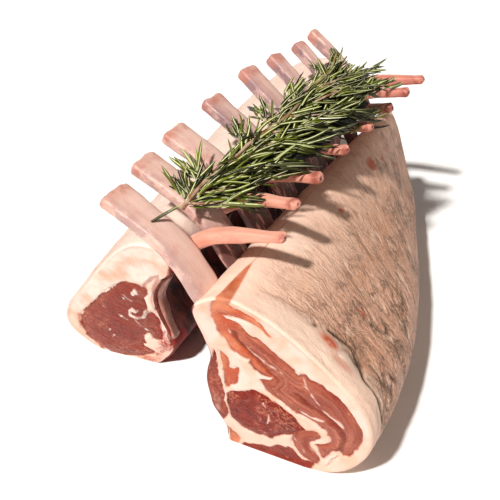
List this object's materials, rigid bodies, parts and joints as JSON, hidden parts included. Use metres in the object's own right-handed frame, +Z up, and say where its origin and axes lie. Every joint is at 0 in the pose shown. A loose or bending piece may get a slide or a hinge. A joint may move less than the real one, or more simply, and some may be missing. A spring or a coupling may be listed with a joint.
{
  "type": "guard of honour of raw lamb",
  "caption": "Raw frenched racks of lamb standing together with crossed rib bones, loin and cap meat showing at the cut ends, and a bundle of rosemary along the top.",
  "frame": {"origin": "middle of the footprint, on the surface that the racks stand on", "axes": "+Z up; +Y along the loins, away from the end that shows the cap muscle's band; +X towards the rack whose shoulder end is at low Y"},
  "size_m": [0.1706, 0.2178, 0.12],
  "materials": {
    "fat": "raw lamb fat, satin, cream to tan",
    "meat": "raw lamb muscle, moist",
    "dark_meat": "dark raw lamb muscle between the ribs and at the chine, moist",
    "bone": "scraped rib bone, pinkish, satin",
    "herb": "fresh rosemary, satin"
  },
  "bodies": {
    "root": {"right_fat": "fat", "right_eye": "meat", "right_cap": "meat", "right_cap_branch": "meat", "right_small_muscle": "meat", "right_marbled_muscle": "meat", "right_chine_meat": "dark_meat", "right_rib_meat": "dark_meat", "right_rib_1": "bone", "right_rib_2": "bone", "right_rib_3": "bone", "right_rib_4": "bone", "right_rib_5": "bone", "right_rib_6": "bone", "right_rib_7": "bone", "right_rib_8": "bone", "left_fat": "fat", "left_eye": "meat", "left_cap": "meat", "left_cap_branch": "meat", "left_small_muscle": "meat", "left_marbled_muscle": "meat", "left_chine_meat": "dark_meat", "left_rib_meat": "dark_meat", "left_rib_1": "bone", "left_rib_2": "bone", "left_rib_3": "bone", "left_rib_4": "bone", "left_rib_5": "bone", "left_rib_6": "bone", "left_rib_7": "bone", "left_rib_8": "bone", "rosemary": "herb"}
  },
  "joints": []
}
